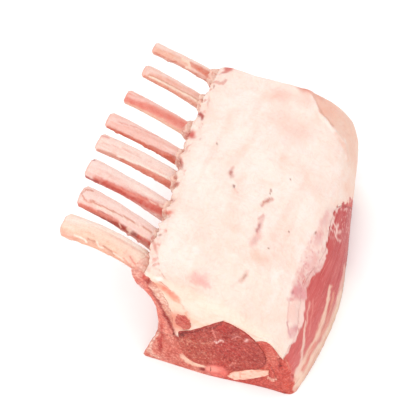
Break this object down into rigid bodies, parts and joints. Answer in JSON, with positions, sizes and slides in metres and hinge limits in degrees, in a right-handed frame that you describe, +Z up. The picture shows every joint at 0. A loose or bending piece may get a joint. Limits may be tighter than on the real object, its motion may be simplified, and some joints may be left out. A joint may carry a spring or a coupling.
{
  "type": "rack of lamb",
  "caption": "Raw rack of lamb with curved bare rib tips, a thick fat cap, a cut face showing the eye of the loin, and a flat sawn backbone side to rest on.",
  "frame": {"origin": "middle of the flat sawn underside that the rack rests on", "axes": "+Z up; +Y along the rack, from the shoulder end with the cut face to the loin end; bare rib tips point toward -X, the fat cap and side muscle toward +X"},
  "size_m": [0.1665, 0.182, 0.098],
  "materials": {
    "lamb_fat": "pale cream fat, smooth and slightly moist",
    "lamb_meat": "raw red muscle, moist",
    "eye_meat": "cut face of raw muscle, dark red, fine grain",
    "rib_bone": "scraped bone, pale pink",
    "sawn_bone": "sawn backbone, grainy pink",
    "pale_sinew": "elastic neck sinew, pale cream"
  },
  "bodies": {
    "root": {"fat_cap": "lamb_fat", "side_meat": "lamb_meat", "rib_meat": "lamb_meat", "loin_eye": "eye_meat", "small_muscle": "eye_meat", "backstrap": "pale_sinew", "chine_bone": "sawn_bone", "rib_1": "rib_bone", "rib_2": "rib_bone", "rib_3": "rib_bone", "rib_4": "rib_bone", "rib_5": "rib_bone", "rib_6": "rib_bone", "rib_7": "rib_bone", "rib_8": "rib_bone"}
  },
  "joints": []
}
